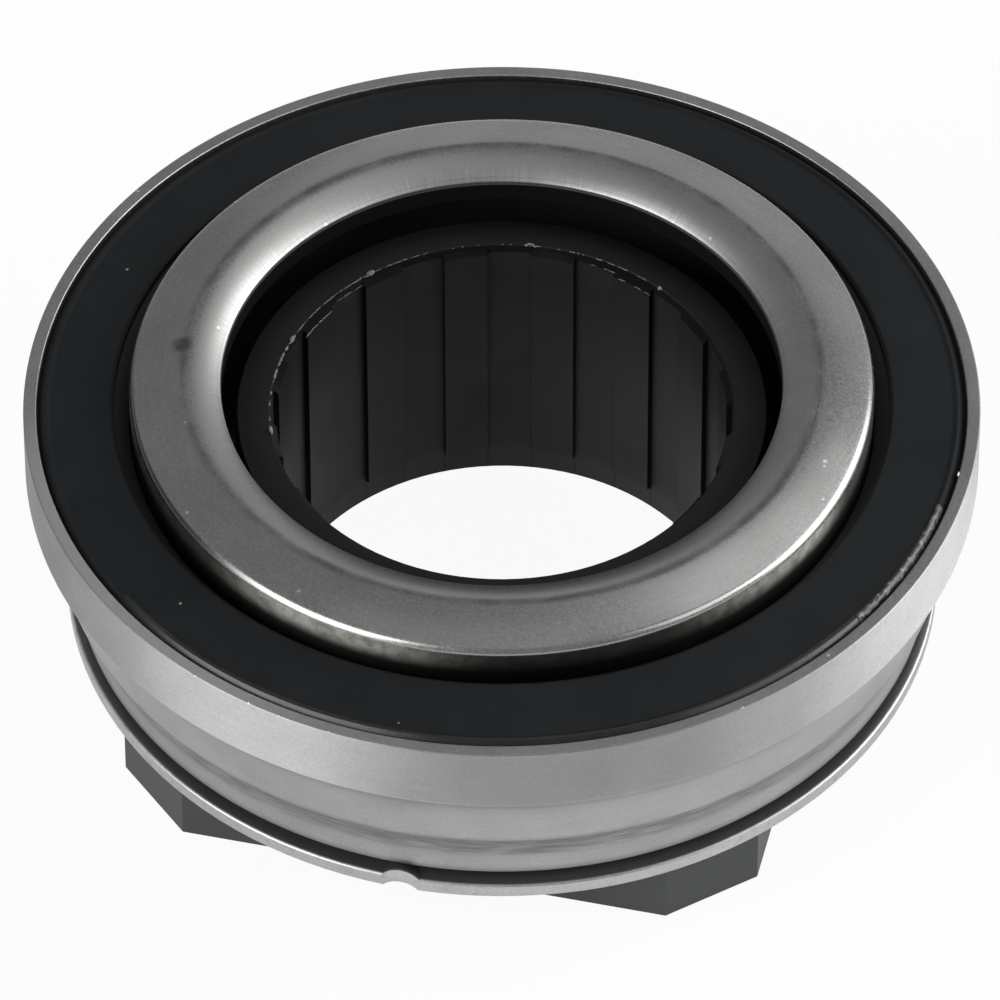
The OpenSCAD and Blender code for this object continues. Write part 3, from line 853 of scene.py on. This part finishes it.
def scatter_flecks(name, places, material, body, seed):
    """Copies of one fleck at (angle, radius, height, length, thickness), joined to one piece."""
    chance = random.Random(seed)
    pattern = model_fleck(name + "_pattern")
    copies = []
    for angle, radius, height, length, thickness in places:
        copy = pattern.copy()
        copy.data = pattern.data.copy()
        bpy.context.scene.collection.objects.link(copy)
        lie = Matrix.Rotation(math.radians(angle), 4, "Z")
        lean = Matrix.Rotation(chance.uniform(-0.25, 0.25), 4, "X")
        stretch = Matrix.Diagonal((thickness, length, thickness * chance.uniform(0.7, 1.4), 1))
        copy.data.transform(lie @ Matrix.Translation(Vector((radius, 0, height)) * MM) @ lean @ stretch)
        copies.append(copy)
    bpy.data.objects.remove(pattern)
    bpy.ops.object.select_all(action="DESELECT")
    for copy in copies:
        copy.select_set(True)
    piece = copies[0]
    bpy.context.view_layer.objects.active = piece
    bpy.ops.object.join()
    piece.name = name
    piece.data.name = name
    piece.data.materials.append(material)
    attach(piece, body)


def bore_edge(angle, upper):
    """Radius and height of the bore's front edge or of the lead's lower edge at an angle."""
    if upper:
        return BORE_R + 0.1, TUBE_TOP - 0.05
    spacing = 360 / PAD_COUNT
    from_pad = abs((angle - PAD_MIDDLE + spacing / 2) % spacing - spacing / 2)
    return (GUIDE_R if from_pad < spacing / 4 else BORE_R), PAD_TOP


def flash_places():
    """Where torn flash shows on the bore's front edges: threads, specks and clumps of specks."""
    chance = random.Random(11)
    places = []
    for start, end, upper, count, longest, thickest in FLASH_THREADS:
        for number in range(count):
            angle = chance.uniform(start, end)
            length = chance.uniform(0.2, longest)
            places.append((angle, *bore_edge(angle, upper), length, chance.uniform(0.3, thickest)))
    for start, end, count, largest in FLASH_SPECKS:
        for number in range(count):
            angle = chance.uniform(start, end)
            size = chance.uniform(0.4, largest)
            places.append((angle, *bore_edge(angle, True), 0.16 * size, size))
    for middle, size in FLASH_CLUMPS:
        for number in range(CLUMP_COUNT):
            angle = middle + chance.uniform(-0.6, 0.6)
            radius, edge = bore_edge(angle, True)
            height = edge + chance.uniform(-0.1, 0.2)
            length = 0.12 * size * chance.uniform(0.5, 1)
            places.append((angle, radius, height, length, size * chance.uniform(0.4, 1)))
    return places


def add_film():
    """Torn rubber film that lies crumpled along the seal's bead on the right."""
    film = draw_outline("seal_film", FILM_OUTLINE)
    sweep = math.radians(FILM_END - FILM_START)
    bpy.ops.mesh.select_all(action="SELECT")
    bpy.ops.transform.rotate(value=-math.radians(FILM_END), orient_axis="Z", center_override=(0, 0, 0))
    bpy.ops.mesh.spin(steps=FILM_STEPS, angle=sweep, center=(0, 0, 0), axis=(0, 0, 1))
    bpy.ops.mesh.select_all(action="SELECT")
    bpy.ops.mesh.remove_doubles(threshold=MERGE_DISTANCE)
    bpy.ops.transform.vertex_random(offset=0.08 * MM, seed=9)
    bpy.ops.mesh.normals_make_consistent(inside=False)
    bpy.ops.object.mode_set(mode="OBJECT")
    bpy.ops.object.modifier_add(type="SOLIDIFY")
    film.modifiers[-1].thickness = 0.04 * MM
    apply_modifier(film)
    bpy.ops.object.modifier_add(type="SUBSURF")
    film.modifiers[-1].levels = 1
    film.modifiers[-1].render_levels = 1
    apply_modifier(film)
    bpy.ops.object.shade_smooth()
    dark = (0.02, 0.021, 0.021)
    light = (0.05, 0.051, 0.05)
    scuffed = (0.3, 0.3, 0.29)
    film_rubber = scuffed_rubber("film_rubber", dark, light, scuffed, 0.28, 0.38, GLOSSY_FILM)
    film.data.materials.append(film_rubber)
    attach(film, "bearing_shell")


# Stage

def add_floor():
    """A plain pale floor: white to the eye, greyer in reflections, and darkened by the part's shadow."""
    bpy.ops.object.select_all(action="DESELECT")
    bpy.ops.mesh.primitive_plane_add(size=6, location=(0, 0, -0.02 * MM))
    floor = bpy.context.object
    floor.name = "floor"
    material = bpy.data.materials.new("floor_white")
    material.use_nodes = True
    tree = material.node_tree
    shader = tree.nodes["Principled BSDF"]
    shader.inputs["Base Color"].default_value = (0.85, 0.85, 0.85, 1)
    shader.inputs["Roughness"].default_value = 0.9
    shader.inputs["Specular IOR Level"].default_value = 0
    glow = tree.nodes.new("ShaderNodeEmission")
    glow.inputs["Strength"].default_value = 1
    path = tree.nodes.new("ShaderNodeLightPath")
    seen = add_math(tree, "MAXIMUM", path.outputs["Is Camera Ray"], path.outputs["Is Transmission Ray"])
    seen = add_math(tree, "MULTIPLY", seen, 0.94)
    mirrored = add_math(tree, "MULTIPLY", path.outputs["Is Glossy Ray"], 0.35)
    mix = tree.nodes.new("ShaderNodeMixShader")
    tree.links.new(add_math(tree, "MAXIMUM", seen, mirrored), mix.inputs["Fac"])
    tree.links.new(shader.outputs["BSDF"], mix.inputs[1])
    tree.links.new(glow.outputs["Emission"], mix.inputs[2])
    tree.links.new(mix.outputs["Shader"], tree.nodes["Material Output"].inputs["Surface"])
    floor.data.materials.append(material)


def add_softbox(name, direction, distance, size, power):
    """A rectangular softbox that faces the part from a direction seen by the photographer."""
    data = bpy.data.lights.new(name, "AREA")
    data.shape = "RECTANGLE"
    data.size = size[0]
    data.size_y = size[1]
    data.energy = power
    lamp = bpy.data.objects.new(name, data)
    towards = from_camera(*direction).normalized()
    lamp.location = towards * distance
    lamp.rotation_euler = towards.to_track_quat("Z", "Y").to_euler()
    bpy.context.scene.collection.objects.link(lamp)


def add_world():
    """An even grey studio around the part, white where the camera looks past the floor."""
    world = bpy.data.worlds.new("studio")
    bpy.context.scene.world = world
    world.use_nodes = True
    tree = world.node_tree
    room = tree.nodes["Background"]
    room.inputs["Color"].default_value = (0.98, 0.99, 1, 1)
    room.inputs["Strength"].default_value = 0.25
    white = tree.nodes.new("ShaderNodeBackground")
    white.inputs["Strength"].default_value = 1
    path = tree.nodes.new("ShaderNodeLightPath")
    mix = tree.nodes.new("ShaderNodeMixShader")
    tree.links.new(path.outputs["Is Camera Ray"], mix.inputs["Fac"])
    tree.links.new(room.outputs["Background"], mix.inputs[1])
    tree.links.new(white.outputs["Background"], mix.inputs[2])
    tree.links.new(mix.outputs["Shader"], tree.nodes["World Output"].inputs["Surface"])


add_camera()
seal_finish = seal_rubber()

# Finishes of the carried-over nodes. The turned rings replace the last three, which stay hidden
finishes = {
    "back_plate": plate_steel(),
    "rear_seal": seal_finish,
    "guide_sleeve": sleeve_polyamide(),
    "ball_cage": plain_plastic("cage_polyamide", (0.2, 0.18, 0.13), (0.24, 0.22, 0.16), 0.45, 0.55, 0.4),
    "centring_spring": plain_steel("spring_steel", 0.3, 0.36, 0.32, 0.42),
    "front_seal": seal_finish,
    "outer_ring": plain_steel("shell_blank", 0.36, 0.42, 0.36, 0.44),
    "inner_ring": plain_steel("nose_blank", 0.31, 0.36, 0.3, 0.38),
}
ball_finish = plain_steel("ball_steel", 0.6, 0.65, 0.06, 0.1)
for node_name in nodes:
    dress(node_name, finishes.get(node_name, ball_finish))
add_nose()
add_shell()
add_seal(seal_finish)
flash_finish = plain_plastic("flash_polyamide", (0.1, 0.1, 0.1), (0.3, 0.3, 0.29), 0.35, 0.5, 0.5)
scatter_flecks("bore_flash", flash_places(), flash_finish, "carrier", 21)
burr_finish = plain_steel("burr_steel", 0.85, 0.9, 0.3, 0.4)
scatter_flecks("rim_burrs", RIM_BURRS, burr_finish, "bearing_shell", 22)
add_film()
add_floor()
add_softbox("right_key", (0.91, 0.1765, 0.3746), 0.9, (0.8, 0.65), 6.5)
add_softbox("upper_fill", (0.459, 0.265, 0.848), 0.95, (0.55, 0.5), 0.58)
add_softbox("front_fill", (0.714, -0.38, 0.588), 0.9, (0.45, 0.5), 0.9)
add_softbox("left_key", (-0.727, -0.528, 0.438), 0.9, (0.7, 0.72), 5.8)
add_softbox("back_fill", (0.4636, 0.803, 0.3746), 1.0, (1.6, 0.5), 0.55)
add_softbox("top_fill", (0, -0.15, 0.99), 1.0, (0.7, 0.7), 0.2)
add_world()
bpy.context.scene.view_settings.view_transform = "Standard"
